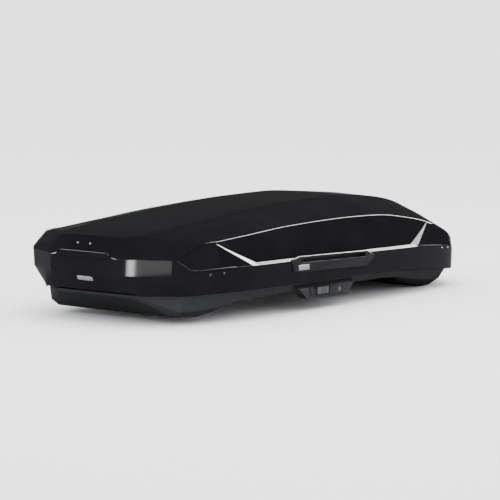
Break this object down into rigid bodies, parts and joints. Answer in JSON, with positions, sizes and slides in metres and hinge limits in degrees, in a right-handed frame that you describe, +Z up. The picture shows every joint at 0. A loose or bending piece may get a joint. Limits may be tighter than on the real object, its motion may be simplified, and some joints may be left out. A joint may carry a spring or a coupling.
{
  "type": "roof cargo box",
  "caption": "Long faceted roof cargo box with a gloss lid that opens from either side over a grained tray, with slide latches, keys and bar clamps.",
  "frame": {"origin": "centre of the tray's flat seat, which rests on the crossbars, at the middle of the box's length and width", "axes": "+X forwards to the nose, +Y to the left side, +Z up"},
  "size_m": [1.945, 0.901, 0.399],
  "materials": {
    "gloss_shell": "high gloss black acrylic-capped sheet",
    "handle_gloss": "gloss black moulding",
    "badge_plate": "blank satin plate",
    "rivet_metal": "dark painted heads",
    "tray_textured": "grained black sheet",
    "rail_steel": "galvanised",
    "saddle_plastic": "moulded",
    "bracket_zinc": "zinc plated",
    "pin_steel": "bright drawn",
    "housing_plastic": "moulded",
    "lever_plastic": "moulded",
    "key_metal": "satin",
    "arm_steel": "black powder coat",
    "knob_plastic": "moulded",
    "jaw_plastic": "glass-filled nylon",
    "screw_steel": "zinc plated"
  },
  "bodies": {
    "base": {"base_shell": "tray_textured", "floor_rail_left": "rail_steel", "floor_rail_right": "rail_steel", "lock_housing_left": "housing_plastic", "lock_housing_right": "housing_plastic", "latch_saddles_left": "saddle_plastic", "latch_saddles_right": "saddle_plastic", "arm_brackets_base": "bracket_zinc", "arm_pins_base": "pin_steel", "tray_screws": "screw_steel"},
    "lifter_arms_a": {"lifter_arm_rear_a": "arm_steel", "lifter_arm_front_a": "arm_steel"},
    "lifter_arms_b": {"lifter_arm_rear_b": "arm_steel", "lifter_arm_front_b": "arm_steel"},
    "lid": {"lid_shell": "gloss_shell", "handle_left": "handle_gloss", "handle_right": "handle_gloss", "badge_left": "badge_plate", "badge_right": "badge_plate", "badge_rear": "badge_plate", "lid_rivets": "rivet_metal", "latch_brackets_left": "bracket_zinc", "latch_brackets_right": "bracket_zinc", "latch_pins_left": "pin_steel", "latch_pins_right": "pin_steel", "arm_brackets_lid": "bracket_zinc", "arm_pins_lid": "pin_steel", "handle_screws": "screw_steel"},
    "latch_left": {"latch_rod_left": "bracket_zinc", "latch_hooks_left": "bracket_zinc", "slide_lever_left": "lever_plastic"},
    "key_left": {"key_cylinder_left": "key_metal"},
    "latch_right": {"latch_rod_right": "bracket_zinc", "latch_hooks_right": "bracket_zinc", "slide_lever_right": "lever_plastic"},
    "key_right": {"key_cylinder_right": "key_metal"},
    "clamp_rear_left": {"clamp_housing_rear_left": "housing_plastic"},
    "clamp_drive_rear_left": {"clamp_screw_rear_left": "pin_steel", "clamp_knob_rear_left": "knob_plastic"},
    "clamp_front_jaw_rear_left": {"front_jaw_rear_left": "jaw_plastic"},
    "clamp_rear_jaw_rear_left": {"rear_jaw_rear_left": "jaw_plastic"},
    "clamp_rear_right": {"clamp_housing_rear_right": "housing_plastic"},
    "clamp_drive_rear_right": {"clamp_screw_rear_right": "pin_steel", "clamp_knob_rear_right": "knob_plastic"},
    "clamp_front_jaw_rear_right": {"front_jaw_rear_right": "jaw_plastic"},
    "clamp_rear_jaw_rear_right": {"rear_jaw_rear_right": "jaw_plastic"},
    "clamp_front_left": {"clamp_housing_front_left": "housing_plastic"},
    "clamp_drive_front_left": {"clamp_screw_front_left": "pin_steel", "clamp_knob_front_left": "knob_plastic"},
    "clamp_front_jaw_front_left": {"front_jaw_front_left": "jaw_plastic"},
    "clamp_rear_jaw_front_left": {"rear_jaw_front_left": "jaw_plastic"},
    "clamp_front_right": {"clamp_housing_front_right": "housing_plastic"},
    "clamp_drive_front_right": {"clamp_screw_front_right": "pin_steel", "clamp_knob_front_right": "knob_plastic"},
    "clamp_front_jaw_front_right": {"front_jaw_front_right": "jaw_plastic"},
    "clamp_rear_jaw_front_right": {"rear_jaw_front_right": "jaw_plastic"}
  },
  "joints": [
    {"name": "open_right_side", "type": "hinge", "parent": "base", "child": "lifter_arms_a", "pos_m": [0, 0.41, 0.046], "axis": [-1, 0, 0], "range_deg": [0, 45]},
    {"name": "open_left_side", "type": "hinge", "parent": "lifter_arms_a", "child": "lid", "pos_m": [0, -0.41, 0.046], "axis": [1, 0, 0], "range_deg": [0, 45]},
    {"name": "lifter_b_swing", "type": "hinge", "parent": "base", "child": "lifter_arms_b", "pos_m": [0, -0.41, 0.046], "axis": [1, 0, 0], "range_deg": [0, 45]},
    {"name": "latch_slide_left", "type": "slide", "parent": "base", "child": "latch_left", "axis": [-1, 0, 0], "range_m": [0, 0.018]},
    {"name": "key_turn_left", "type": "hinge", "parent": "base", "child": "key_left", "pos_m": [0.012, 0.4335, -0.0065], "axis": [0, 1, 0], "range_deg": [0, 90]},
    {"name": "latch_slide_right", "type": "slide", "parent": "base", "child": "latch_right", "axis": [-1, 0, 0], "range_m": [0, 0.018]},
    {"name": "key_turn_right", "type": "hinge", "parent": "base", "child": "key_right", "pos_m": [0.012, -0.4335, -0.0065], "axis": [0, -1, 0], "range_deg": [0, 90]},
    {"name": "clamp_shift_rear_left", "type": "slide", "parent": "base", "child": "clamp_rear_left", "axis": [1, 0, 0], "range_m": [0, 0.1]},
    {"name": "clamp_turn_rear_left", "type": "hinge", "parent": "clamp_rear_left", "child": "clamp_drive_rear_left", "pos_m": [-0.51, 0.24, 0.03], "axis": [1, 0, 0], "range_deg": [-720, 720]},
    {"name": "front_jaw_travel_rear_left", "type": "slide", "parent": "clamp_rear_left", "child": "clamp_front_jaw_rear_left", "axis": [1, 0, 0], "range_m": [-0.0101, 0.0101]},
    {"name": "rear_jaw_travel_rear_left", "type": "slide", "parent": "clamp_rear_left", "child": "clamp_rear_jaw_rear_left", "axis": [-1, 0, 0], "range_m": [-0.0101, 0.0101]},
    {"name": "clamp_shift_rear_right", "type": "slide", "parent": "base", "child": "clamp_rear_right", "axis": [1, 0, 0], "range_m": [0, 0.1]},
    {"name": "clamp_turn_rear_right", "type": "hinge", "parent": "clamp_rear_right", "child": "clamp_drive_rear_right", "pos_m": [-0.51, -0.24, 0.03], "axis": [1, 0, 0], "range_deg": [-720, 720]},
    {"name": "front_jaw_travel_rear_right", "type": "slide", "parent": "clamp_rear_right", "child": "clamp_front_jaw_rear_right", "axis": [1, 0, 0], "range_m": [-0.0101, 0.0101]},
    {"name": "rear_jaw_travel_rear_right", "type": "slide", "parent": "clamp_rear_right", "child": "clamp_rear_jaw_rear_right", "axis": [-1, 0, 0], "range_m": [-0.0101, 0.0101]},
    {"name": "clamp_shift_front_left", "type": "slide", "parent": "base", "child": "clamp_front_left", "axis": [1, 0, 0], "range_m": [-0.1, 0.1]},
    {"name": "clamp_turn_front_left", "type": "hinge", "parent": "clamp_front_left", "child": "clamp_drive_front_left", "pos_m": [0.2, 0.24, 0.03], "axis": [1, 0, 0], "range_deg": [-720, 720]},
    {"name": "front_jaw_travel_front_left", "type": "slide", "parent": "clamp_front_left", "child": "clamp_front_jaw_front_left", "axis": [1, 0, 0], "range_m": [-0.0101, 0.0101]},
    {"name": "rear_jaw_travel_front_left", "type": "slide", "parent": "clamp_front_left", "child": "clamp_rear_jaw_front_left", "axis": [-1, 0, 0], "range_m": [-0.0101, 0.0101]},
    {"name": "clamp_shift_front_right", "type": "slide", "parent": "base", "child": "clamp_front_right", "axis": [1, 0, 0], "range_m": [-0.1, 0.1]},
    {"name": "clamp_turn_front_right", "type": "hinge", "parent": "clamp_front_right", "child": "clamp_drive_front_right", "pos_m": [0.2, -0.24, 0.03], "axis": [1, 0, 0], "range_deg": [-720, 720]},
    {"name": "front_jaw_travel_front_right", "type": "slide", "parent": "clamp_front_right", "child": "clamp_front_jaw_front_right", "axis": [1, 0, 0], "range_m": [-0.0101, 0.0101]},
    {"name": "rear_jaw_travel_front_right", "type": "slide", "parent": "clamp_front_right", "child": "clamp_rear_jaw_front_right", "axis": [-1, 0, 0], "range_m": [-0.0101, 0.0101]}
  ],
  "couplings": [
    {"joint": "lifter_b_swing", "follows": "open_left_side", "ratio": 1},
    {"joint": "front_jaw_travel_rear_left", "follows": "clamp_turn_rear_left", "m_per_rad": 0.00079577},
    {"joint": "rear_jaw_travel_rear_left", "follows": "clamp_turn_rear_left", "m_per_rad": 0.00079577},
    {"joint": "front_jaw_travel_rear_right", "follows": "clamp_turn_rear_right", "m_per_rad": 0.00079577},
    {"joint": "rear_jaw_travel_rear_right", "follows": "clamp_turn_rear_right", "m_per_rad": 0.00079577},
    {"joint": "front_jaw_travel_front_left", "follows": "clamp_turn_front_left", "m_per_rad": 0.00079577},
    {"joint": "rear_jaw_travel_front_left", "follows": "clamp_turn_front_left", "m_per_rad": 0.00079577},
    {"joint": "front_jaw_travel_front_right", "follows": "clamp_turn_front_right", "m_per_rad": 0.00079577},
    {"joint": "rear_jaw_travel_front_right", "follows": "clamp_turn_front_right", "m_per_rad": 0.00079577}
  ]
}
